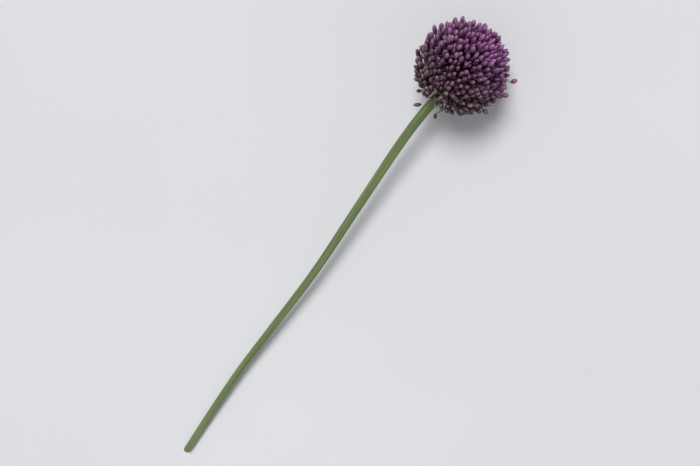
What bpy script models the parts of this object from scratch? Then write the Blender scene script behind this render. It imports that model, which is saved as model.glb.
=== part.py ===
"""Allium flower head on its cut stem, lying on its side.

Metres, +Z up.  The stem lies along Y with the flower head at the +Y end, and the lowest
buds and the cut end of the stem rest on z = 0.  One object is built for the stem with its
receptacle, one for every cluster of florets, and one for every floret that stands out alone.
"""
import math
import random

import bmesh
import bpy
from mathutils import Vector

SEED = 41

# Flower head
HEAD_CENTRE = Vector((-0.00269, 0.30141, 0.0445))
HEAD_RADIUS = 0.0480
LATTICE = 660
LOWEST_POLAR = math.radians(157)
WANDER = math.radians(1.0)
GOLDEN_ANGLE = math.pi * (3 - math.sqrt(5))
LEFT_OUT_SHARE = 0.38
DEPTH_RANGE = 0.0042

HEAD_TOP = Vector((0.0, 0.0, 1.0))

# Receptacle and the feet of the pedicels
RECEPTACLE_RADIUS = 0.0080
FOOT_INNER_RADIUS = 0.0086
FOOT_OUTER_RADIUS = 0.0108
FOOT_SPREAD = 0.78
FOOT_CROWDING = 0.80
FOOT_INNER_TAPER = 0.90
PEDICEL_FOOT_RADIUS = 0.00032

# Florets: a thin pedicel and a closed bud
SIDES = 4
NECK_RADIUS = 0.00055
BELLY_RADIUS = 0.0025
BUD_LENGTH = 0.0068
BELLY_TO_TIP = 0.0034
BUD_SIZE_RANGE = (0.86, 1.10)

# Places on the head where buds are missing, as directions with a radius in degrees
GAPS = (
    ((-0.38, -0.72, -0.56), 5.5),
    ((-0.08, -0.72, -0.68), 5.5),
    ((0.26, -0.75, -0.60), 5.0),
    ((0.58, -0.81, -0.08), 5.0),
    ((-0.72, -0.68, 0.10), 5.0),
)

# Florets that stand out alone, as the place of the bud tip from the head centre
STRAYS = (
    (0.0490, -0.0050, 0.0268),
    (0.0515, -0.0130, 0.0120),
    (0.0510, 0.0070, 0.0005),
    (0.0480, -0.0150, -0.0135),
    (-0.0110, -0.0010, -0.0610),
    (0.0112, -0.0060, -0.0565),
    (-0.0490, -0.0080, 0.0160),
)
STRAY_CLEARANCE = math.radians(6.6)
STRAY_FOOT_RADIUS = 0.0112
STRAY_FOOT_THICKNESS = 0.00030

# Stem: sideways wander at distances behind the head centre
STEM_LENGTH = 0.650
STEM_WANDER = (
    (0.000, 0.0000),
    (0.080, -0.0048),
    (0.180, -0.0012),
    (0.290, 0.0036),
    (0.400, 0.0030),
    (0.480, 0.0024),
    (0.560, 0.0050),
    (0.650, 0.0095),
)
STEM_TOP_RADIUS = 0.0051
STEM_MIDDLE_RADIUS = 0.0046
STEM_END_RADIUS = 0.0048
STEM_SIDES = 16
STEM_RINGS = 26
STEM_SAG_POWER = 1.12
NECK_LENGTH = 0.0080
NECK_FLARE = 1.08
DOME_RINGS = 4
DOME_END = math.pi * 0.88
POLE_GUARD = 0.2

# Colours
STEM_COLOUR = (0.20, 0.26, 0.10, 1.0)
TOP_BUD_COLOUR = (0.26, 0.09, 0.26, 1.0)
LOW_BUD_COLOUR = (0.22, 0.14, 0.16, 1.0)


def clear_scene():
    """Remove whatever the new scene holds."""
    for thing in list(bpy.data.objects):
        bpy.data.objects.remove(thing, do_unlink=True)


def make_material(name, colour, roughness):
    """One plain Principled material."""
    material = bpy.data.materials.new(name)
    material.use_nodes = True
    shader = material.node_tree.nodes["Principled BSDF"]
    shader.inputs["Base Color"].default_value = colour
    shader.inputs["Roughness"].default_value = roughness
    shader.inputs["Metallic"].default_value = 0.0
    return material


def blend(first, second, share):
    """Mix of two number rows."""
    return tuple(a + (b - a) * share for a, b in zip(first, second))


def finish_object(name, mesh_builder, material):
    """Turn a finished bmesh into a smooth-shaded object."""
    bmesh.ops.recalc_face_normals(mesh_builder, faces=mesh_builder.faces)
    mesh = bpy.data.meshes.new(name)
    mesh_builder.to_mesh(mesh)
    mesh_builder.free()
    mesh.materials.append(material)
    thing = bpy.data.objects.new(name, mesh)
    bpy.context.scene.collection.objects.link(thing)
    return thing


def smooth_table(table, where):
    """Value between the rows of a table, eased so that the curve has no corners."""
    last = len(table) - 1
    for row in range(last):
        start, end = table[row], table[row + 1]
        if where <= end[0] or row == last - 1:
            before = table[max(row - 1, 0)]
            after = table[min(row + 2, last)]
            span = end[0] - start[0]
            share = (where - start[0]) / span
            slope_in = (end[1] - before[1]) / (end[0] - before[0]) * span
            slope_out = (after[1] - start[1]) / (after[0] - start[0]) * span
            square, cube = share ** 2, share ** 3
            return (
                (2 * cube - 3 * square + 1) * start[1]
                + (cube - 2 * square + share) * slope_in
                + (3 * square - 2 * cube) * end[1]
                + (cube - square) * slope_out
            )


def stem_point(behind):
    """Centre of the stem at a distance behind the head centre."""
    share = behind / STEM_LENGTH
    height = STEM_END_RADIUS + (HEAD_CENTRE.z - STEM_END_RADIUS) * (1 - share) ** STEM_SAG_POWER
    side = HEAD_CENTRE.x + smooth_table(STEM_WANDER, behind)
    return Vector((side, HEAD_CENTRE.y - behind, height))


def stem_direction(behind):
    """Direction of the stem towards the head."""
    step = 0.004
    nearer = stem_point(max(behind - step, 0.0))
    farther = stem_point(min(behind + step, STEM_LENGTH))
    return (nearer - farther).normalized()


def stem_radius(behind):
    """The stem thins a little from the head to its middle."""
    share = behind / STEM_LENGTH
    if share < 0.5:
        return STEM_TOP_RADIUS + (STEM_MIDDLE_RADIUS - STEM_TOP_RADIUS) * share * 2
    return STEM_MIDDLE_RADIUS + (STEM_END_RADIUS - STEM_MIDDLE_RADIUS) * (share * 2 - 1)


HEAD_AXIS = stem_direction(0.0)
HEAD_TURN = HEAD_TOP.rotation_difference(HEAD_AXIS)


def around_axis(axis, radius, sides, roll):
    """Offsets of a ring of points square to an axis."""
    side = axis.orthogonal().normalized()
    other = axis.cross(side)
    offsets = []
    for corner in range(sides):
        angle = roll + corner * math.tau / sides
        offsets.append(side * (math.cos(angle) * radius) + other * (math.sin(angle) * radius))
    return offsets


def bridge(mesh_builder, first_ring, second_ring):
    """Faces between two rings of equal length."""
    count = len(first_ring)
    for corner in range(count):
        following = (corner + 1) % count
        mesh_builder.faces.new((
            first_ring[corner], first_ring[following],
            second_ring[following], second_ring[corner],
        ))


def build_stem():
    """The scape with its cut end and the swollen receptacle at its top."""
    mesh_builder = bmesh.new()
    stations = []
    for ring in range(STEM_RINGS + 1):
        behind = STEM_LENGTH - (STEM_LENGTH - NECK_LENGTH) * ring / STEM_RINGS
        stations.append((stem_point(behind), stem_direction(behind), stem_radius(behind)))
    dome_start = math.asin(STEM_TOP_RADIUS * NECK_FLARE / RECEPTACLE_RADIUS)
    for ring in range(DOME_RINGS + 1):
        angle = dome_start + (DOME_END - dome_start) * ring / DOME_RINGS
        place = HEAD_CENTRE - HEAD_AXIS * (math.cos(angle) * RECEPTACLE_RADIUS)
        stations.append((place, HEAD_AXIS, math.sin(angle) * RECEPTACLE_RADIUS))
    rings = []
    for place, axis, radius in stations:
        side = Vector((1.0, 0.0, 0.0))
        side = (side - axis * side.dot(axis)).normalized()
        other = axis.cross(side)
        ring = []
        for corner in range(STEM_SIDES):
            angle = corner * math.tau / STEM_SIDES
            offset = side * (math.cos(angle) * radius) + other * (math.sin(angle) * radius)
            ring.append(mesh_builder.verts.new(place + offset))
        rings.append(ring)
    for first_ring, second_ring in zip(rings, rings[1:]):
        bridge(mesh_builder, first_ring, second_ring)
    mesh_builder.faces.new(rings[0])
    pole = mesh_builder.verts.new(HEAD_CENTRE + HEAD_AXIS * RECEPTACLE_RADIUS)
    for corner in range(STEM_SIDES):
        mesh_builder.faces.new((rings[-1][corner], rings[-1][(corner + 1) % STEM_SIDES], pole))
    for face in mesh_builder.faces:
        face.smooth = len(face.verts) < STEM_SIDES
    return finish_object("stem", mesh_builder, make_material("stem", STEM_COLOUR, 0.5))


def cell_directions():
    """Evenly spread cluster centres; the one that points down the stem is left out."""
    ball = bmesh.new()
    bmesh.ops.create_icosphere(ball, subdivisions=2, radius=1.0)
    directions = [vertex.co.normalized() for vertex in ball.verts]
    ball.free()
    directions = [direction for direction in directions if direction.z > -0.99]
    directions.sort(key=lambda direction: (-round(direction.z, 3), math.atan2(direction.y, direction.x)))
    return directions


def from_polar(polar, around):
    """Unit direction from an angle off the head's top and an angle round it."""
    return Vector((
        math.sin(polar) * math.cos(around),
        math.sin(polar) * math.sin(around),
        math.cos(polar),
    ))


def in_gap(direction):
    """Whether a bud direction falls in one of the bare places."""
    return any(direction.angle(Vector(middle)) < math.radians(size) for middle, size in GAPS)


def near_stray(direction):
    """Whether a bud direction is too close to a floret that stands out alone."""
    return any(direction.angle(Vector(tip)) < STRAY_CLEARANCE for tip in STRAYS)


def reach_above_ground(direction, reach):
    """Shorten a floret that would otherwise go below z = 0."""
    turned = HEAD_TURN @ direction
    if turned.z < 0:
        return min(reach, -HEAD_CENTRE.z / turned.z)
    return reach


def all_florets():
    """Direction, reach, roll and size of every floret that the part carries."""
    chance = random.Random(SEED)
    florets = []
    for index in range(LATTICE):
        height = 1 - 2 * (index + 0.5) / LATTICE
        polar = math.acos(height) + chance.uniform(-WANDER, WANDER)
        turned = chance.uniform(-WANDER, WANDER) / max(math.sin(polar), POLE_GUARD)
        around = index * GOLDEN_ANGLE + turned
        depth = DEPTH_RANGE * chance.random() ** 2
        roll = chance.uniform(0, math.tau)
        size = chance.uniform(*BUD_SIZE_RANGE)
        left_out = chance.random() < LEFT_OUT_SHARE
        direction = from_polar(polar, around)
        if left_out or polar > LOWEST_POLAR or in_gap(direction) or near_stray(direction):
            continue
        reach = reach_above_ground(direction, HEAD_RADIUS - depth)
        florets.append((direction, reach, roll, size))
    return florets


def foot_direction(direction, cell):
    """Where a pedicel starts: feet crowd to their cluster and keep clear of the stem."""
    pulled = cell.lerp(direction, FOOT_CROWDING).normalized()
    polar = min(pulled.angle(HEAD_TOP), LOWEST_POLAR) * FOOT_SPREAD
    return from_polar(polar, math.atan2(pulled.y, pulled.x))


def place_in_head(point):
    """From the head's own frame to the part's frame."""
    return HEAD_CENTRE + HEAD_TURN @ point


def add_bud(mesh_builder, foot_ring, direction, reach, roll, size):
    """Pedicel and bud above a ring of foot points."""
    lower_ring = foot_ring
    length = BUD_LENGTH * size
    belly = BELLY_RADIUS * size
    for back, radius in ((length, NECK_RADIUS), (BELLY_TO_TIP * size, belly)):
        middle = direction * (reach - back)
        offsets = around_axis(direction, radius, SIDES, roll)
        ring = [mesh_builder.verts.new(place_in_head(middle + offset)) for offset in offsets]
        bridge(mesh_builder, lower_ring, ring)
        lower_ring = ring
    tip = mesh_builder.verts.new(place_in_head(direction * reach))
    for corner in range(SIDES):
        mesh_builder.faces.new((lower_ring[corner], lower_ring[(corner + 1) % SIDES], tip))


def build_cluster(name, cell, florets, material):
    """Florets whose pedicels share one foot on the receptacle."""
    mesh_builder = bmesh.new()
    owner = {}
    foot_rings = []
    for number, (direction, reach, roll, size) in enumerate(florets):
        foot = foot_direction(direction, cell)
        ring = []
        for offset in around_axis(direction, PEDICEL_FOOT_RADIUS, SIDES, roll):
            on_ball = (foot * FOOT_OUTER_RADIUS + offset).normalized() * FOOT_OUTER_RADIUS
            vertex = mesh_builder.verts.new(place_in_head(on_ball))
            owner[vertex] = number
            ring.append(vertex)
        foot_rings.append(ring)
        inner = foot_direction(cell, cell).lerp(foot, FOOT_INNER_TAPER).normalized()
        owner[mesh_builder.verts.new(place_in_head(inner * FOOT_INNER_RADIUS))] = -1
    hull = bmesh.ops.convex_hull(mesh_builder, input=mesh_builder.verts)
    spare = [item for item in hull["geom_interior"] if isinstance(item, bmesh.types.BMVert)]
    bmesh.ops.delete(mesh_builder, geom=spare, context="VERTS")
    for face in list(mesh_builder.faces):
        owners = {owner[vertex] for vertex in face.verts}
        if len(owners) == 1 and -1 not in owners:
            mesh_builder.faces.remove(face)
    for edge in list(mesh_builder.edges):
        if not edge.link_faces:
            mesh_builder.edges.remove(edge)
    for ring, (direction, reach, roll, size) in zip(foot_rings, florets):
        add_bud(mesh_builder, ring, direction, reach, roll, size)
    for face in mesh_builder.faces:
        face.smooth = True
    return finish_object(name, mesh_builder, material)


def build_stray(name, tip, material):
    """One floret alone, on its own pedicel."""
    mesh_builder = bmesh.new()
    direction = tip.normalized()
    foot = foot_direction(direction, direction) * STRAY_FOOT_RADIUS
    offsets = around_axis(direction, STRAY_FOOT_THICKNESS, SIDES, 0.0)
    ring = [mesh_builder.verts.new(place_in_head(foot + offset)) for offset in offsets]
    mesh_builder.faces.new(ring)
    add_bud(mesh_builder, ring, direction, tip.length, 0.0, 1.0)
    for face in mesh_builder.faces:
        face.smooth = True
    return finish_object(name, mesh_builder, material)


def build_head():
    """All clusters of florets and the florets that stand out."""
    cells = cell_directions()
    members = [[] for cell in cells]
    for floret in all_florets():
        nearest = max(range(len(cells)), key=lambda index: cells[index].dot(floret[0]))
        members[nearest].append(floret)
    for number, (cell, florets) in enumerate(zip(cells, members), start=1):
        name = f"floret_cluster_{number:02d}"
        colour = blend(LOW_BUD_COLOUR, TOP_BUD_COLOUR, (cell.z + 1) / 2)
        build_cluster(name, cell, florets, make_material(name, colour, 0.55))
    for number, tip in enumerate(STRAYS, start=1):
        name = f"single_floret_{number:02d}"
        build_stray(name, Vector(tip), make_material(name, LOW_BUD_COLOUR, 0.55))


clear_scene()
build_stem()
build_head()
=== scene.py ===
# %% [markdown]
# # An allium flower, bud by bud
# The flower lies on its side. A long stem ends in a small swollen knob, and several hundred
# thin stalks fan out from that knob, each with one closed bud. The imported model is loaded
# first as a fixed frame, and every piece made below stands in the place of one of its nodes.

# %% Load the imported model
import math
import random

import bmesh
import bpy
import numpy as np
from bpy_extras.object_utils import world_to_camera_view
from mathutils import Matrix, Vector


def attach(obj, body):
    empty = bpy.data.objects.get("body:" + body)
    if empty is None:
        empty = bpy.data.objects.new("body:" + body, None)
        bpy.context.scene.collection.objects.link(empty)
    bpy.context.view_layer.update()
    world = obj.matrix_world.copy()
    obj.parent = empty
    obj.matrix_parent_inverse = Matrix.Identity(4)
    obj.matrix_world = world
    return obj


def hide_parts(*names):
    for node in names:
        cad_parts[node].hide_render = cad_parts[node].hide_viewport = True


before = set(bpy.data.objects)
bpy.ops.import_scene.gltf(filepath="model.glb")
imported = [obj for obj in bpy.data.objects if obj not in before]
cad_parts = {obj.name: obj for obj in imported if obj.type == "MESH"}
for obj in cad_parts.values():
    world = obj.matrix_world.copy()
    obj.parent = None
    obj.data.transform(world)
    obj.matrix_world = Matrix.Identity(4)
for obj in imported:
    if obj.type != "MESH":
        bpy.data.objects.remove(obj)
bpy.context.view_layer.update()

print("nodes in the frame:", len(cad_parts))

# %% [markdown]
# ## The flower's measures
# The head is a ball about 100 mm across. Its centre, the bow of the stem and the places of
# the buds follow the same rules as the model in the frame, so each detailed piece fills the
# space that its plain node holds. All lengths are in metres.

# %% Measures that several pieces share
SEED = 41
HEAD_CENTRE = Vector((-0.00269, 0.30141, 0.0445))
HEAD_TOP = Vector((0.0, 0.0, 1.0))
HEAD_RADIUS = 0.0480
RECEPTACLE_RADIUS = 0.0080
LOWEST_POLAR = math.radians(157)
WANDER = math.radians(1.0)
GOLDEN_ANGLE = math.pi * (3 - math.sqrt(5))
STRAYS = (
    (0.0490, -0.0050, 0.0268),
    (0.0515, -0.0130, 0.0120),
    (0.0510, 0.0070, 0.0005),
    (0.0480, -0.0150, -0.0135),
    (-0.0110, -0.0010, -0.0610),
    (0.0112, -0.0060, -0.0565),
    (-0.0490, -0.0080, 0.0160),
)
print("radius of the head in metres:", HEAD_RADIUS)

# %% [markdown]
# ## The line of the stem
# A real stem is never straight. Its sideways wander is written as a few points along its
# length, and a cubic curve through them gives a bow without corners. The stem also rises
# from the table at its cut end to the middle of the head.

# %% The stem's centre line
STEM_LENGTH = 0.650
STEM_WANDER = (
    (0.000, 0.0000),
    (0.080, -0.0048),
    (0.180, -0.0012),
    (0.290, 0.0036),
    (0.400, 0.0030),
    (0.480, 0.0024),
    (0.560, 0.0050),
    (0.650, 0.0095),
)
STEM_END_RADIUS = 0.0048
STEM_SAG_POWER = 1.12
DIRECTION_STEP = 0.004


def smooth_table(table, where):
    """Value between the rows of a table, on a curve without corners."""
    last = len(table) - 1
    row = 0
    while row < last - 1 and where > table[row + 1][0]:
        row += 1
    start, end = table[row], table[row + 1]
    before = table[max(row - 1, 0)]
    after = table[min(row + 2, last)]
    span = end[0] - start[0]
    share = (where - start[0]) / span
    slope_in = (end[1] - before[1]) / (end[0] - before[0]) * span
    slope_out = (after[1] - start[1]) / (after[0] - start[0]) * span
    square, cube = share ** 2, share ** 3
    return (
        (2 * cube - 3 * square + 1) * start[1]
        + (cube - 2 * square + share) * slope_in
        + (3 * square - 2 * cube) * end[1]
        + (cube - square) * slope_out
    )


def stem_point(behind):
    """Centre of the stem at a distance behind the head centre."""
    share = min(behind / STEM_LENGTH, 1.0)
    rise = HEAD_CENTRE.z - STEM_END_RADIUS
    height = STEM_END_RADIUS + rise * (1 - share) ** STEM_SAG_POWER
    side = HEAD_CENTRE.x + smooth_table(STEM_WANDER, behind)
    return Vector((side, HEAD_CENTRE.y - behind, height))


def stem_direction(behind):
    """Direction of the stem towards the head."""
    nearer = stem_point(max(behind - DIRECTION_STEP, 0.0))
    farther = stem_point(min(behind + DIRECTION_STEP, STEM_LENGTH))
    return (nearer - farther).normalized()


HEAD_AXIS = stem_direction(0.0)
HEAD_TURN = HEAD_TOP.rotation_difference(HEAD_AXIS)
print("the head points along", [round(value, 3) for value in HEAD_AXIS])

# %% [markdown]
# ## Where the buds sit
# The buds of an allium cover the ball evenly. Points picked at random would clump and leave
# holes, so the rule here is the one that the seeds of a sunflower follow: each bud is turned
# by the golden angle from the last. A small random wander keeps the spiral from looking
# woven. Some directions stay bare, as on the real head. A bud that would go below the table
# is shortened later, when it is placed.

# %% Directions and lengths of the grown florets
LATTICE = 660
LEFT_OUT_SHARE = 0.38
DEPTH_RANGE = 0.0042
BUD_SIZE_RANGE = (0.86, 1.10)
POLE_GUARD = 0.2
STRAY_CLEARANCE = math.radians(6.6)
GAPS = (
    ((-0.38, -0.72, -0.56), 5.5),
    ((-0.08, -0.72, -0.68), 5.5),
    ((0.26, -0.75, -0.60), 5.0),
    ((0.58, -0.81, -0.08), 5.0),
    ((-0.72, -0.68, 0.10), 5.0),
)


def from_polar(polar, around):
    """Unit direction from an angle off the head's top and an angle round it."""
    return Vector((
        math.sin(polar) * math.cos(around),
        math.sin(polar) * math.sin(around),
        math.cos(polar),
    ))


def is_bare(direction):
    """Whether a direction falls in a gap or too near a floret that stands out alone."""
    in_gap = any(direction.angle(Vector(middle)) < math.radians(size) for middle, size in GAPS)
    near_stray = any(direction.angle(Vector(tip)) < STRAY_CLEARANCE for tip in STRAYS)
    return in_gap or near_stray


def reach_above_table(direction, reach):
    """Shorten a floret that would otherwise go through the table."""
    turned = HEAD_TURN @ direction
    if turned.z < 0:
        return min(reach, -HEAD_CENTRE.z / turned.z)
    return reach


def all_florets():
    """Direction, reach, roll and size of every floret, and whether it fills in between."""
    chance = random.Random(SEED)
    florets = []
    for index in range(LATTICE):
        height = 1 - 2 * (index + 0.5) / LATTICE
        polar = math.acos(height) + chance.uniform(-WANDER, WANDER)
        turned = chance.uniform(-WANDER, WANDER) / max(math.sin(polar), POLE_GUARD)
        around = index * GOLDEN_ANGLE + turned
        depth = DEPTH_RANGE * chance.random() ** 2
        roll = chance.uniform(0, math.tau)
        size = chance.uniform(*BUD_SIZE_RANGE)
        is_filler = chance.random() < LEFT_OUT_SHARE
        direction = from_polar(polar, around)
        if polar > LOWEST_POLAR or is_bare(direction):
            continue
        florets.append((direction, HEAD_RADIUS - depth, roll, size, is_filler))
    return florets


grown = all_florets()
print("grown florets:", len(grown))

# %% [markdown]
# ## The younger buds
# Buds on an allium do not all open together. Between the grown ones sit smaller buds on
# shorter stalks, and they close the view into the head. They follow the same spiral with
# another start, so they fall between the grown ones.

# %% Directions and lengths of the younger florets
YOUNG_LATTICE = 580
YOUNG_TURN = 1.1
YOUNG_WANDER = 3
YOUNG_DEPTHS = (0.0075, 0.0160)
YOUNG_SIZE_RANGE = (0.62, 0.88)
YOUNG_TOP_POLAR = math.radians(4)
YOUNG_LOWEST_POLAR = math.radians(153)


def young_florets():
    """Smaller buds on shorter stalks, deeper in the head, between the others."""
    chance = random.Random(SEED + 2)
    florets = []
    for index in range(YOUNG_LATTICE):
        height = 1 - 2 * (index + 0.5) / YOUNG_LATTICE
        polar = math.acos(height) + chance.uniform(-WANDER, WANDER) * YOUNG_WANDER
        around = YOUNG_TURN + index * GOLDEN_ANGLE + chance.uniform(-WANDER, WANDER) * YOUNG_WANDER
        reach = HEAD_RADIUS - chance.uniform(*YOUNG_DEPTHS)
        roll = chance.uniform(0, math.tau)
        size = chance.uniform(*YOUNG_SIZE_RANGE)
        if YOUNG_TOP_POLAR < polar < YOUNG_LOWEST_POLAR:
            florets.append((from_polar(polar, around), reach, roll, size, False))
    return florets


young = young_florets()
print("younger florets:", len(young))

# %% [markdown]
# ## Sharing the florets out
# The stalks of a real head start in small groups. The corners of a divided icosahedron are
# spread evenly over a ball, so each corner becomes one group and each floret joins the
# nearest. The corner that points down the stem is left out.

# %% Groups of florets
LOWEST_CELL = -0.99


def cell_directions():
    """Evenly spread cluster centres; the one that points down the stem is left out."""
    ball = bmesh.new()
    bmesh.ops.create_icosphere(ball, subdivisions=2, radius=1.0)
    directions = [vertex.co.normalized() for vertex in ball.verts]
    ball.free()
    directions = [direction for direction in directions if direction.z > LOWEST_CELL]
    directions.sort(key=lambda place: (-round(place.z, 3), math.atan2(place.y, place.x)))
    return directions


cells = cell_directions()
members = [[] for cell in cells]
for floret in grown + young:
    nearest = max(range(len(cells)), key=lambda index: cells[index].dot(floret[0]))
    members[nearest].append(floret)
print("florets:", sum(len(group) for group in members), "in", len(cells), "clusters")

# %% [markdown]
# ## Small helpers for the materials
# Colours are easiest to pick as 0 to 255 values, but shaders work with linear light, so
# `paint` converts them. The other helpers add one node each and wire it up, which keeps the
# materials below short enough to read.

# %% Material helpers
def paint(red, green, blue):
    """Linear colour from 0 to 255 values."""
    linear = []
    for value in (red, green, blue):
        share = value / 255
        linear.append(share / 12.92 if share <= 0.04045 else ((share + 0.055) / 1.055) ** 2.4)
    return (*linear, 1.0)


def new_material(name):
    """A Principled material with its tree and shader."""
    material = bpy.data.materials.new(name)
    material.use_nodes = True
    tree = material.node_tree
    return material, tree, tree.nodes["Principled BSDF"]


def feed(tree, value, socket):
    """Link a socket to a socket, or write a plain value into it."""
    if isinstance(value, bpy.types.NodeSocket):
        tree.links.new(value, socket)
    else:
        socket.default_value = value


def attribute(tree, name, output="Fac"):
    """A value stored on the points of the mesh."""
    node = tree.nodes.new("ShaderNodeAttribute")
    node.attribute_name = name
    return node.outputs[output]


def noise(tree, scale, detail=3.0, vector=None):
    """Cloudy pattern on the object's own coordinates or on a stored one."""
    node = tree.nodes.new("ShaderNodeTexNoise")
    node.inputs["Scale"].default_value = scale
    node.inputs["Detail"].default_value = detail
    if vector is None:
        vector = tree.nodes.new("ShaderNodeTexCoord").outputs["Object"]
    tree.links.new(vector, node.inputs["Vector"])
    return node.outputs["Fac"]


def remap(tree, value, low, high, new_low, new_high):
    """Stretch the range low to high over a new range."""
    node = tree.nodes.new("ShaderNodeMapRange")
    tree.links.new(value, node.inputs["Value"])
    node.inputs["From Min"].default_value = low
    node.inputs["From Max"].default_value = high
    node.inputs["To Min"].default_value = new_low
    node.inputs["To Max"].default_value = new_high
    return node.outputs["Result"]


def mix(tree, share, first, second, way="MIX"):
    """Blend two colours."""
    node = tree.nodes.new("ShaderNodeMix")
    node.data_type = "RGBA"
    node.blend_type = way
    feed(tree, share, node.inputs["Factor"])
    feed(tree, first, node.inputs[6])
    feed(tree, second, node.inputs[7])
    return node.outputs[2]


def ramp(tree, value, stops):
    """Colours along a value."""
    node = tree.nodes.new("ShaderNodeValToRGB")
    tree.links.new(value, node.inputs["Fac"])
    elements = node.color_ramp.elements
    elements[0].position, elements[0].color = stops[0]
    elements[1].position, elements[1].color = stops[-1]
    for place, colour in stops[1:-1]:
        elements.new(place).color = colour
    return node.outputs["Color"]


def tone(tree, colour, value, stops):
    """Darken and lighten a colour by the tones along a value."""
    return mix(tree, 1.0, colour, ramp(tree, value, stops), "MULTIPLY")


def scale_vector(tree, vector, factors):
    """Stretch coordinates, to draw a pattern out into streaks."""
    node = tree.nodes.new("ShaderNodeMapping")
    node.inputs["Scale"].default_value = factors
    tree.links.new(vector, node.inputs["Vector"])
    return node.outputs["Vector"]


def add_bump(tree, shader, height, strength, distance):
    """Let a pattern raise and lower the surface."""
    node = tree.nodes.new("ShaderNodeBump")
    node.inputs["Strength"].default_value = strength
    node.inputs["Distance"].default_value = distance
    tree.links.new(height, node.inputs["Height"])
    tree.links.new(node.outputs["Normal"], shader.inputs["Normal"])


# %% [markdown]
# ## The bud's petals
# The buds at the top of the head are the oldest and the most purple. Further down they turn
# greyish mauve, then brownish, and lower down they are also painted darker as painted shade,
# for the underside of the head that the light from above does not reach. Their outer ends are
# paler, partly as pale tips and partly as a painted highlight. Each bud also has its own tone.
# A painted image would be the same on every bud, so the colour comes from four numbers stored
# on the mesh: how low the bud sits on the head, how far a point is along the bud, a random
# tint, and how near a point is to a seam between two petals, where the colour is darker.

# %% Petal material
def make_petal_material():
    """Purple to brownish petals with dark seams; darker lower down as painted shade, and paler outer
    ends that are partly pale tips, partly a painted highlight.
    """
    material, tree, shader = new_material("petals")
    lowness = attribute(tree, "lowness")
    along = attribute(tree, "along")
    tint = attribute(tree, "tint")
    seam = attribute(tree, "seam")
    # Body colour by height on the head: purple to brownish, and also darker lower down as painted
    # shade for the underside that the light does not reach.
    body = ramp(tree, lowness, (
        (0.08, paint(156, 77, 153)),
        (0.36, paint(132, 70, 121)),
        (0.62, paint(85, 50, 65)),
        (0.88, paint(62, 43, 40)),
    ))
    # Colour of the outer ends: partly real pale tips, partly a painted highlight.
    tip = ramp(tree, lowness, (
        (0.08, paint(184, 126, 182)),
        (0.36, paint(158, 116, 150)),
        (0.62, paint(138, 112, 122)),
        (0.88, paint(156, 136, 122)),
    ))
    # Towards the outer end the body colour gives way to the pale tip and painted highlight.
    colour = mix(tree, remap(tree, along, 0.50, 0.95, 0.0, 0.9), body, tip)
    sepal_green = remap(tree, along, 0.22, 0.0, 0.0, 0.55)
    colour = mix(tree, sepal_green, colour, paint(116, 98, 74))
    colour = mix(tree, remap(tree, tint, 0.94, 0.98, 0.0, 0.5), colour, paint(156, 146, 108))
    colour = tone(tree, colour, tint, (
        (0.0, (0.50, 0.48, 0.51, 1.0)),
        (0.85, (1.15, 1.12, 1.15, 1.0)),
    ))
    colour = tone(tree, colour, noise(tree, 420.0), (
        (0.3, (0.80, 0.78, 0.80, 1.0)),
        (0.7, (1.1, 1.1, 1.1, 1.0)),
    ))
    colour = mix(tree, remap(tree, seam, 0.25, 1.0, 0.0, 0.7), colour, paint(58, 26, 52))
    tree.links.new(colour, shader.inputs["Base Color"])
    tree.links.new(remap(tree, noise(tree, 260.0), 0.3, 0.7, 0.34, 0.56), shader.inputs["Roughness"])
    add_bump(tree, shader, noise(tree, 900.0), 0.35, 0.0002)
    return material


petals = make_petal_material()
print("nodes in the petal material:", len(petals.node_tree.nodes))

# %% [markdown]
# ## The stalks of the buds
# A stalk leaves the knob green and turns brownish purple towards its bud. Stalks point every
# way, so the colour follows a number stored from foot to bud and not a direction in space. A
# fine noise keeps neighbouring stalks from looking the same.

# %% Stalk material
def make_stalk_material():
    """Green at the foot, brownish purple at the bud."""
    material, tree, shader = new_material("stalks")
    colour = ramp(tree, attribute(tree, "along"), (
        (0.0, paint(96, 108, 66)),
        (0.40, paint(78, 68, 54)),
        (0.70, paint(68, 44, 54)),
        (1.0, paint(84, 50, 62)),
    ))
    colour = tone(tree, colour, noise(tree, 180.0), (
        (0.3, (0.7, 0.7, 0.7, 1.0)),
        (0.7, (1.1, 1.1, 1.1, 1.0)),
    ))
    tree.links.new(colour, shader.inputs["Base Color"])
    tree.links.new(remap(tree, noise(tree, 300.0), 0.3, 0.7, 0.4, 0.6), shader.inputs["Roughness"])
    return material


stalks = make_stalk_material()
print("nodes in the stalk material:", len(stalks.node_tree.nodes))

# %% [markdown]
# ## The stem's skin
# The stem has a waxy skin with faint ribs. Fine light and dark streaks run along it, with
# yellower patches and a bluish bloom here and there. The pattern is read from a place stored
# on the mesh, round and along the stem, so the streaks follow every bend.

# %% Stem and cut-face materials
def make_stem_material():
    """Green, streaked along its length, with a waxy bloom."""
    material, tree, shader = new_material("stem_skin")
    place = attribute(tree, "stem_place", "Vector")
    streaks = noise(tree, 1.0, 4.0, scale_vector(tree, place, (7.0, 7.0, 9.0)))
    threads = noise(tree, 1.0, 2.0, scale_vector(tree, place, (20.0, 20.0, 16.0)))
    patches = noise(tree, 1.0, 3.0, scale_vector(tree, place, (1.4, 1.4, 11.0)))
    colour = ramp(tree, streaks, (
        (0.32, paint(66, 86, 48)),
        (0.50, paint(96, 116, 66)),
        (0.66, paint(128, 146, 90)),
    ))
    colour = mix(tree, remap(tree, patches, 0.50, 0.68, 0.0, 0.45), colour, paint(134, 144, 80))
    colour = mix(tree, remap(tree, patches, 0.46, 0.34, 0.0, 0.5), colour, paint(112, 130, 100))
    colour = tone(tree, colour, threads, (
        (0.35, (0.74, 0.76, 0.72, 1.0)),
        (0.65, (1.12, 1.12, 1.08, 1.0)),
    ))
    tree.links.new(colour, shader.inputs["Base Color"])
    tree.links.new(remap(tree, streaks, 0.3, 0.7, 0.36, 0.54), shader.inputs["Roughness"])
    add_bump(tree, shader, threads, 0.4, 0.0002)
    return material


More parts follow.
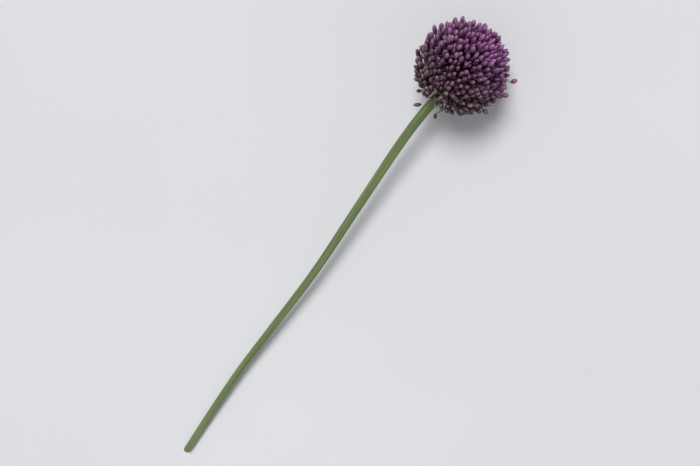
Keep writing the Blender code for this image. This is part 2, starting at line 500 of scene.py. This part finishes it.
def make_pith_material():
    """The pale, moist cut face."""
    material, tree, shader = new_material("cut_face")
    grain = noise(tree, 1400.0, 4.0)
    colour = ramp(tree, grain, ((0.3, paint(186, 196, 140)), (0.7, paint(224, 226, 188))))
    tree.links.new(colour, shader.inputs["Base Color"])
    tree.links.new(remap(tree, grain, 0.3, 0.7, 0.3, 0.5), shader.inputs["Roughness"])
    add_bump(tree, shader, grain, 0.5, 0.0003)
    return material


stem_skin = make_stem_material()
cut_face = make_pith_material()
print("nodes in the stem material:", len(stem_skin.node_tree.nodes))

# %% [markdown]
# ## Small helpers for the meshes
# Each new piece starts clean, grows by extruded rings and ends with its faces turned out.
# Points are read and written as whole rows of numbers, because going through them one by one
# would be slow with so many buds.

# %% Mesh helpers
def start_piece():
    """Leave edit mode and deselect everything."""
    if bpy.context.mode != "OBJECT":
        bpy.ops.object.mode_set(mode="OBJECT")
    bpy.ops.object.select_all(action="DESELECT")


def extrude_rings(rings):
    """Extrude the selected disc upwards and resize it, ring after ring."""
    height = 0.0
    for rise, widening in rings:
        bpy.ops.mesh.extrude_region_move(TRANSFORM_OT_translate={"value": (0.0, 0.0, rise)})
        height += rise
        bpy.ops.transform.resize(value=(widening, widening, 1.0), center_override=(0.0, 0.0, height))
    return height


def turn_faces_out():
    """Point all faces outwards and leave edit mode."""
    bpy.ops.mesh.select_all(action="SELECT")
    bpy.ops.mesh.normals_make_consistent(inside=False)
    bpy.ops.object.mode_set(mode="OBJECT")


def store(mesh, name, values):
    """Keep one number for each point of a mesh."""
    layer = mesh.attributes.new(name, "FLOAT", "POINT")
    layer.data.foreach_set("value", np.asarray(values, dtype=np.float32))


def read_points(mesh):
    """Coordinates of a mesh as rows of three."""
    points = np.empty(len(mesh.vertices) * 3, dtype=np.float64)
    mesh.vertices.foreach_get("co", points)
    return points.reshape(-1, 3)


def write_points(mesh, points):
    """Move the points of a mesh."""
    mesh.vertices.foreach_set("co", np.asarray(points, dtype=np.float32).ravel())
    mesh.update()


# %% [markdown]
# ## One bud
# A closed bud is an egg of six petals with a small point. It starts as a flat disc of twelve
# corners, which is extruded upwards ring by ring and made wider or narrower each time, as
# one would with E and S in edit mode. The last ring is merged into the point. Pulling every
# second corner inwards then gives the six soft ridges with seams between them. A stretched
# sphere would be quicker, but its neck, belly and point would not have widths of their own.

# %% Model the bud
BUD_SIDES = 12
BUD_RINGS = ((0.10, 2.60), (0.16, 1.62), (0.20, 1.14), (0.20, 0.84), (0.18, 0.56), (0.10, 0.42))
BUD_START_RADIUS = 0.21
SEAM_DEPTH = 0.17
SEAM_AT_NECK = 0.6
SEAM_SPAN = (0.05, 0.99)


def model_bud():
    """A bud one unit long and two units wide, with its neck at z = 0."""
    start_piece()
    bpy.ops.mesh.primitive_circle_add(vertices=BUD_SIDES, radius=BUD_START_RADIUS, fill_type="NGON")
    bud = bpy.context.object
    bud.name = "bud_model"
    bpy.ops.object.mode_set(mode="EDIT")
    bpy.ops.mesh.select_all(action="SELECT")
    total = extrude_rings(BUD_RINGS)
    bpy.ops.mesh.merge(type="CENTER")
    turn_faces_out()
    points = read_points(bud.data)
    along = points[:, 2] / total
    turn = np.arctan2(points[:, 1], points[:, 0])
    seam = (1 - np.cos(turn * BUD_SIDES / 2)) / 2
    seam = seam * (along > SEAM_SPAN[0]) * (along < SEAM_SPAN[1])
    pull = 1 - SEAM_DEPTH * seam * (SEAM_AT_NECK + along)
    points[:, 0] *= pull
    points[:, 1] *= pull
    points[:, 2] = along
    write_points(bud.data, points)
    store(bud.data, "along", along)
    store(bud.data, "seam", seam)
    bud.data.materials.append(petals)
    return bud


bud_model = model_bud()
print("faces of one bud:", len(bud_model.data.polygons))

# %% [markdown]
# ## One stalk
# The stalk is a six-sided rod, also extruded from a disc. It has a ring at every sixth of its
# length, which is enough to bend it gently between the knob and the bud. It is put below the
# bud, from z = -1 to z = 0, and the two are joined into one floret to copy. A curve with a
# bevel would bend as well, but each one would then have to be made a mesh of its own.

# %% Model the stalk and join the floret
STALK_SIDES = 6
STALK_RINGS = 6


def model_stalk():
    """A rod one unit long below z = 0."""
    start_piece()
    bpy.ops.mesh.primitive_circle_add(vertices=STALK_SIDES, radius=1.0, fill_type="NGON")
    stalk = bpy.context.object
    bpy.ops.object.mode_set(mode="EDIT")
    bpy.ops.mesh.select_all(action="SELECT")
    extrude_rings([(1 / STALK_RINGS, 1.0)] * STALK_RINGS)
    turn_faces_out()
    points = read_points(stalk.data)
    store(stalk.data, "along", points[:, 2].copy())
    store(stalk.data, "seam", np.zeros(len(points)))
    points[:, 2] -= 1.0
    write_points(stalk.data, points)
    stalk.data.materials.append(stalks)
    return stalk


def join_floret(stalk, bud):
    """Stalk and bud as one mesh; returns it with a mark for the stalk's points."""
    stalk_count = len(stalk.data.vertices)
    start_piece()
    bud.select_set(True)
    stalk.select_set(True)
    bpy.context.view_layer.objects.active = stalk
    bpy.ops.object.join()
    bpy.ops.object.shade_smooth()
    stalk.name = "floret_model"
    is_stalk = np.arange(len(stalk.data.vertices)) < stalk_count
    return stalk, is_stalk


floret_model, is_stalk = join_floret(model_stalk(), bud_model)
model_points = read_points(floret_model.data)
print("points of one floret:", len(model_points))

# %% [markdown]
# ## How florets differ
# No two florets are alike. A few stand proud and the ones in between sit deeper, each bud nods
# its own way, and the feet of the stalks crowd together on the knob. These small helpers hold
# those habits, so that the shape below stays short.

# %% Habits of the florets
FOOT_SPREAD = 0.78
FOOT_CROWDING = 0.80
FILLER_DEPTHS = (0.0005, 0.0070)
PROUD_SHARE = 0.12
PROUD_LENGTHS = (0.0010, 0.0038)


def foot_direction(direction, cell):
    """Where a stalk starts: feet crowd to their cluster and keep clear of the stem."""
    pulled = cell.lerp(direction, FOOT_CROWDING).normalized()
    polar = min(pulled.angle(HEAD_TOP), LOWEST_POLAR) * FOOT_SPREAD
    return from_polar(polar, math.atan2(pulled.y, pulled.x))


def random_sideways(direction, amount, chance):
    """A random shift square to a direction."""
    side = direction.orthogonal().normalized()
    other = direction.cross(side)
    return (side * chance.uniform(-1, 1) + other * chance.uniform(-1, 1)) * amount


def living_reach(reach, is_filler, chance):
    """Some buds stand a little proud and the ones between them sit deeper."""
    if is_filler:
        reach -= chance.uniform(*FILLER_DEPTHS)
    elif chance.random() < PROUD_SHARE:
        reach += chance.uniform(*PROUD_LENGTHS)
    return reach


print("share of the buds that stand proud:", PROUD_SHARE)

# %% [markdown]
# ## Bending a floret into shape
# The bud is stretched to its size and turned to point away from the knob and a little
# towards the top of the head. The stalk's rings are laid along a curve that leaves the knob
# in the direction of its foot and then bends towards the bud, as a living stalk does.

# %% Shape of one floret
BUD_LENGTH = 0.0077
BELLY_RADIUS = 0.00238
LENGTH_SPREAD = (0.88, 1.15)
WIDTH_SPREAD = (0.84, 1.12)
BUD_NOD = 0.24
BUD_LIFT = 0.75
SIDE_WANDER = 0.0011
STALK_FOOT_RADIUS = 0.00042
STALK_NECK_RADIUS = 0.00056
STALK_BEND = 0.55
STALK_BOW = 0.0016
STALK_OVERLAP = 0.03
FOOT_SINK = 0.0003


def bud_places(neck, length, width, axis, side, other):
    """The bud's points, stretched to its size and turned along its axis."""
    bud = model_points[~is_stalk]
    return (
        np.array(neck)
        + bud[:, 2:3] * length * np.array(axis)
        + bud[:, 0:1] * width * np.array(side)
        + bud[:, 1:2] * width * np.array(other)
    )


def stalk_places(start, middle, end, side, other):
    """The stalk's points, along a curve from the knob to the bud."""
    rod = model_points[is_stalk]
    share = rod[:, 2:3] + 1.0
    line = (1 - share) ** 2 * np.array(start) + 2 * share * (1 - share) * np.array(middle)
    line = line + share ** 2 * np.array(end)
    thickness = STALK_FOOT_RADIUS + (STALK_NECK_RADIUS - STALK_FOOT_RADIUS) * share ** 3
    return (
        line
        + rod[:, 0:1] * thickness * np.array(side)
        + rod[:, 1:2] * thickness * np.array(other)
    )


def floret_points(direction, foot, reach, roll, size, chance):
    """Points of one floret in the head's own frame."""
    length = BUD_LENGTH * size * chance.uniform(*LENGTH_SPREAD)
    width = BELLY_RADIUS * size * chance.uniform(*WIDTH_SPREAD)
    leaning = direction + HEAD_TOP * BUD_LIFT + random_sideways(direction, BUD_NOD, chance)
    wander = random_sideways(direction, SIDE_WANDER, chance)
    bow = random_sideways(direction, STALK_BOW, chance)
    kept_reach = reach_above_table(direction, reach)
    if kept_reach < reach:
        leaning = direction
        wander = Vector((0.0, 0.0, 0.0))
    axis = leaning.normalized()
    bud_middle = direction * (kept_reach - length / 2) + wander
    neck = bud_middle - axis * (length / 2)
    side = axis.orthogonal().normalized()
    side = side * math.cos(roll) + axis.cross(side) * math.sin(roll)
    other = axis.cross(side)
    start = foot * (RECEPTACLE_RADIUS - FOOT_SINK)
    middle = foot * (STALK_BEND * kept_reach) + bow
    end = neck + axis * (STALK_OVERLAP * length)
    places = np.empty_like(model_points)
    places[~is_stalk] = bud_places(neck, length, width, axis, side, other)
    places[is_stalk] = stalk_places(start, middle, end, side, other)
    return places


print("length of a bud in metres:", BUD_LENGTH)

# %% [markdown]
# ## Filling the head
# Each copy of the floret gets its own mesh, its own shade and its place in the head. The
# copies of one group are joined into one piece, which stands for one node of the model.
# Instances would be lighter, but a finished piece needs a real mesh.

# %% Place the florets
LOWNESS_SPREAD = 0.05
TURN_ROWS = np.array(HEAD_TURN.to_matrix())


def place_floret(name, direction, foot, reach, roll, size, chance):
    """One copy of the floret with its own mesh, shade and place."""
    places = floret_points(direction, foot, reach, roll, size, chance)
    places = places @ TURN_ROWS.T + np.array(HEAD_CENTRE)
    places[:, 2] = np.maximum(places[:, 2], 0.0)
    copy = bpy.data.objects.new(name, floret_model.data.copy())
    bpy.context.scene.collection.objects.link(copy)
    write_points(copy.data, places)
    count = len(places)
    lowness = direction.angle(HEAD_TOP) / math.pi + chance.uniform(-LOWNESS_SPREAD, LOWNESS_SPREAD)
    store(copy.data, "lowness", np.full(count, min(max(lowness, 0.0), 1.0)))
    store(copy.data, "tint", np.full(count, chance.random()))
    return copy


def join_pieces(pieces, name):
    """Join copies into one finished piece."""
    start_piece()
    for piece in pieces:
        piece.select_set(True)
    bpy.context.view_layer.objects.active = pieces[0]
    if len(pieces) > 1:
        bpy.ops.object.join()
    pieces[0].name = name
    return pieces[0]


chance = random.Random(SEED + 1)
for number, (cell, florets) in enumerate(zip(cells, members), start=1):
    copies = []
    for direction, reach, roll, size, is_filler in florets:
        foot = foot_direction(direction, cell)
        reach = living_reach(reach, is_filler, chance)
        copies.append(place_floret("floret", direction, foot, reach, roll, size, chance))
    cluster = join_pieces(copies, f"florets_{number:02d}")
    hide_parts(f"floret_cluster_{number:02d}")
    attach(cluster, "root")
print("clusters placed:", len(cells))

# %% [markdown]
# ## The florets that stand out alone
# A few stalks are longer than the rest or hang down beside the stem. They break the outline
# of the ball, and without them the head would look like a toy.

# %% Place the lone florets
for number, place in enumerate(STRAYS, start=1):
    tip = Vector(place)
    direction = tip.normalized()
    foot = foot_direction(direction, direction)
    lone = place_floret("floret", direction, foot, tip.length, 0.0, 1.0, chance)
    lone.name = f"lone_floret_{number:02d}"
    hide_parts(f"single_floret_{number:02d}")
    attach(lone, "root")
bpy.data.objects.remove(floret_model, do_unlink=True)
print("lone florets placed:", len(STRAYS))

# %% [markdown]
# ## The stem, upright
# The stem starts as an upright cylinder. Its long edges are subdivided so that it can bend,
# the lower end is inset for the pale cut face, and the upper end is extruded into the dome
# of the knob that carries the stalks. A curve with a bevel would follow the bow too, but its
# cut face and its knob would not be part of the same skin.

# %% Model the upright stem
STEM_TOP_RADIUS = 0.0051
STEM_SIDES = 40
STEM_CUTS = 96
RIND_WIDTH = 0.10
CUT_HOLLOW = 0.0005
KNOB_SHOULDER = 0.0058
DOME_STEPS = 6
DOME_END = math.pi * 0.96
FLAT_END = 0.9


def select_where(mesh, test):
    """Select only the faces whose middle passes a test."""
    bpy.ops.mesh.select_all(action="DESELECT")
    bpy.ops.object.mode_set(mode="OBJECT")
    for face in mesh.polygons:
        face.select = test(face)
    bpy.ops.object.mode_set(mode="EDIT")


def select_long_edges(mesh, length):
    """Select only the edges that run up the rod."""
    bpy.ops.mesh.select_mode(type="EDGE")
    bpy.ops.mesh.select_all(action="DESELECT")
    bpy.ops.object.mode_set(mode="OBJECT")
    for edge in mesh.edges:
        first, second = (mesh.vertices[index].co for index in edge.vertices)
        edge.select = abs(first.z - second.z) > length / 2
    bpy.ops.object.mode_set(mode="EDIT")


def grow_knob(height):
    """Extrude the selected top of the rod into the dome of the knob."""
    shoulder = math.acos(KNOB_SHOULDER / RECEPTACLE_RADIUS)
    previous = 1.0
    for step in range(1, DOME_STEPS + 1):
        angle = shoulder + (DOME_END - shoulder) * step / DOME_STEPS
        width = math.sin(angle) * RECEPTACLE_RADIUS / STEM_TOP_RADIUS
        rise = STEM_LENGTH - math.cos(angle) * RECEPTACLE_RADIUS - height
        height += rise
        bpy.ops.mesh.extrude_region_move(TRANSFORM_OT_translate={"value": (0.0, 0.0, rise)})
        bpy.ops.transform.resize(value=(width / previous, width / previous, 1.0),
                                 center_override=(0.0, 0.0, height))
        previous = width


def model_upright_stem():
    """A rod of radius 1 from z = 0 up to the knob, with its cut face and its dome."""
    start_piece()
    top = STEM_LENGTH - KNOB_SHOULDER
    bpy.ops.mesh.primitive_cylinder_add(vertices=STEM_SIDES, radius=1.0, depth=top,
                                        location=(0.0, 0.0, top / 2))
    stem = bpy.context.object
    stem.name = "flower_stem"
    bpy.ops.object.transform_apply(location=True, rotation=False, scale=False)
    mesh = stem.data
    bpy.ops.object.mode_set(mode="EDIT")
    select_long_edges(mesh, top)
    bpy.ops.mesh.subdivide(number_cuts=STEM_CUTS)
    bpy.ops.mesh.select_mode(type="FACE")
    select_where(mesh, lambda face: face.normal.z < -FLAT_END)
    bpy.ops.mesh.inset(thickness=RIND_WIDTH)
    bpy.ops.mesh.inset(thickness=RIND_WIDTH)
    bpy.ops.transform.translate(value=(0.0, 0.0, CUT_HOLLOW))
    select_where(mesh, lambda face: face.normal.z > FLAT_END)
    grow_knob(top)
    bpy.ops.object.mode_set(mode="OBJECT")
    return stem


stem = model_upright_stem()
print("faces of the upright stem:", len(stem.data.polygons))

# %% [markdown]
# ## Laying the stem down
# Each point is moved from the upright rod to its place on the bowed line, and faint ribs are
# pressed into the skin. The place that a point had on the upright rod is stored, because the
# streaks of the skin are drawn from it.

# %% Lay the stem along its line
STEM_MIDDLE_RADIUS = 0.0046
RIB_COUNT = 10
RIB_DEPTH = 0.012
RIB_TWIST = 4.0


def stem_radius(share):
    """The stem thins a little from the head to its middle."""
    if share < 0.5:
        return STEM_TOP_RADIUS + (STEM_MIDDLE_RADIUS - STEM_TOP_RADIUS) * share * 2
    return STEM_MIDDLE_RADIUS + (STEM_END_RADIUS - STEM_MIDDLE_RADIUS) * (share * 2 - 1)


def lay_down(stem):
    """Move every point from the upright rod to its place on the bowed line."""
    mesh = stem.data
    layer = mesh.attributes.new("stem_place", "FLOAT_VECTOR", "POINT")
    for vertex in mesh.vertices:
        upright = vertex.co.copy()
        behind = STEM_LENGTH - upright.z
        turn = math.atan2(upright.y, upright.x)
        if behind > KNOB_SHOULDER:
            centre = stem_point(behind)
            axis = stem_direction(behind)
            radius = stem_radius(behind / STEM_LENGTH)
        else:
            centre = HEAD_CENTRE - HEAD_AXIS * behind
            axis = HEAD_AXIS
            radius = STEM_TOP_RADIUS
        radius *= 1 - RIB_DEPTH * (1 - math.cos(turn * RIB_COUNT + upright.z * RIB_TWIST)) / 2
        side = Vector((1.0, 0.0, 0.0))
        side = (side - axis * side.dot(axis)).normalized()
        other = axis.cross(side)
        place = centre + (side * upright.x + other * upright.y) * radius
        place.z = max(place.z, 0.0)
        layer.data[vertex.index].vector = (math.cos(turn), math.sin(turn), upright.z)
        vertex.co = place


lay_down(stem)
print("length of the stem in metres:", STEM_LENGTH)

# %% [markdown]
# ## Finishing the stem
# The cut face gets its own material. The skin is shaded smooth, and the rim of the cut, where
# two faces meet at a steep angle, stays sharp.

# %% Finish the stem
CUT_NORMAL = -0.5
SMOOTH_ANGLE = math.radians(50)


def finish_stem(stem):
    """Materials, smooth shading and outward faces."""
    mesh = stem.data
    mesh.materials.append(stem_skin)
    mesh.materials.append(cut_face)
    cut_y = HEAD_CENTRE.y - STEM_LENGTH + CUT_HOLLOW * 2
    for face in mesh.polygons:
        face.material_index = 1 if face.center.y < cut_y and face.normal.y < CUT_NORMAL else 0
    start_piece()
    stem.select_set(True)
    bpy.context.view_layer.objects.active = stem
    bpy.ops.object.mode_set(mode="EDIT")
    turn_faces_out()
    bpy.ops.object.shade_smooth_by_angle(angle=SMOOTH_ANGLE)


finish_stem(stem)
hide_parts("stem")
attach(stem, "root")
print("stem faces:", len(stem.data.polygons))

# %% [markdown]
# ## The table
# A plain pale floor catches a soft shadow. Its colour alone makes the background pale; a
# very faint noise keeps it from being a dead flat tone.

# %% Floor
FLOOR_SIZE = 12.0
FLOOR_ROUGHNESS = 0.9


def make_floor():
    """A wide pale sheet under the flower."""
    start_piece()
    bpy.ops.mesh.primitive_plane_add(size=FLOOR_SIZE)
    floor = bpy.context.object
    floor.name = "floor"
    material, tree, shader = new_material("pale_floor")
    colour = ramp(tree, noise(tree, 1.5), ((0.3, paint(222, 222, 225)), (0.7, paint(228, 228, 231))))
    tree.links.new(colour, shader.inputs["Base Color"])
    shader.inputs["Roughness"].default_value = FLOOR_ROUGHNESS
    floor.data.materials.append(material)
    return floor


make_floor()
print("width of the floor in metres:", FLOOR_SIZE)

# %% [markdown]
# ## Light
# One soft sun stands beyond the top of the head, so the top buds are the brightest and the
# lower ones fall into shade, and a pale sky fills the shadows. A sun lights the whole table
# evenly, where a lamp close by would leave a bright spot.

# %% Lamps and sky
SUN_PLACE = (-0.55, 0.85, 1.35)
SUN_STRENGTH = 2.5
SUN_SOFTNESS = math.radians(24)
SKY_COLOUR = (0.96, 0.97, 1.0, 1.0)
SKY_STRENGTH = 0.34
SEEN_SKY_STRENGTH = 0.78


def add_sun():
    """A wide soft sun, which lights the whole table evenly."""
    data = bpy.data.lights.new("key_sun", "SUN")
    data.energy = SUN_STRENGTH
    data.angle = SUN_SOFTNESS
    sun = bpy.data.objects.new("key_sun", data)
    sun.location = SUN_PLACE
    sun.rotation_euler = (-Vector(SUN_PLACE)).to_track_quat("-Z", "Y").to_euler()
    bpy.context.scene.collection.objects.link(sun)


def larger(tree, first, second):
    """The larger of two values."""
    node = tree.nodes.new("ShaderNodeMath")
    node.operation = "MAXIMUM"
    tree.links.new(first, node.inputs[0])
    tree.links.new(second, node.inputs[1])
    return node.outputs[0]


def make_sky():
    """Even light from all around; seen directly or in a gloss it is paler than it lights."""
    world = bpy.data.worlds.new("soft_sky")
    bpy.context.scene.world = world
    world.use_nodes = True
    tree = world.node_tree
    background = tree.nodes["Background"]
    background.inputs["Color"].default_value = SKY_COLOUR
    rays = tree.nodes.new("ShaderNodeLightPath")
    seen = larger(tree, rays.outputs["Is Camera Ray"], rays.outputs["Is Glossy Ray"])
    seen = larger(tree, seen, rays.outputs["Is Transmission Ray"])
    strength = remap(tree, seen, 0.0, 1.0, SKY_STRENGTH, SEEN_SKY_STRENGTH)
    tree.links.new(strength, background.inputs["Strength"])


add_sun()
make_sky()
bpy.context.scene.view_settings.view_transform = "Standard"
print("strength of the sun and of the sky:", SUN_STRENGTH, SKY_STRENGTH)

# %% [markdown]
# ## The camera
# The camera looks down from above the head and a little beyond it, so the head is seen from
# the side and slightly from its top, and the stem runs away to the lower left. The roll of
# the camera gives the flower its lean to the right.

# %% Camera
EYE = Vector((0.0, 0.46, 0.82))
AIM = Vector((0.007, 0.065, 0.0))
LEAN = math.radians(34)
LENS = 40.4


def add_camera():
    """Camera with its up direction turned so that the flower leans."""
    data = bpy.data.cameras.new("camera")
    data.lens = LENS
    camera = bpy.data.objects.new("camera", data)
    forward = (AIM - EYE).normalized()
    up_hint = Vector((-math.sin(LEAN), math.cos(LEAN), 0.0))
    right = forward.cross(up_hint).normalized()
    up = right.cross(forward)
    turn = Matrix((right, up, -forward)).transposed()
    camera.matrix_world = Matrix.Translation(EYE) @ turn.to_4x4()
    bpy.context.scene.collection.objects.link(camera)
    bpy.context.scene.camera = camera
    return camera


camera = add_camera()
bpy.context.view_layer.update()
for label, place in (("head", HEAD_CENTRE), ("cut end", stem_point(STEM_LENGTH))):
    seen = world_to_camera_view(bpy.context.scene, camera, place)
    print(label, "in the frame at", round(seen.x, 3), round(seen.y, 3))
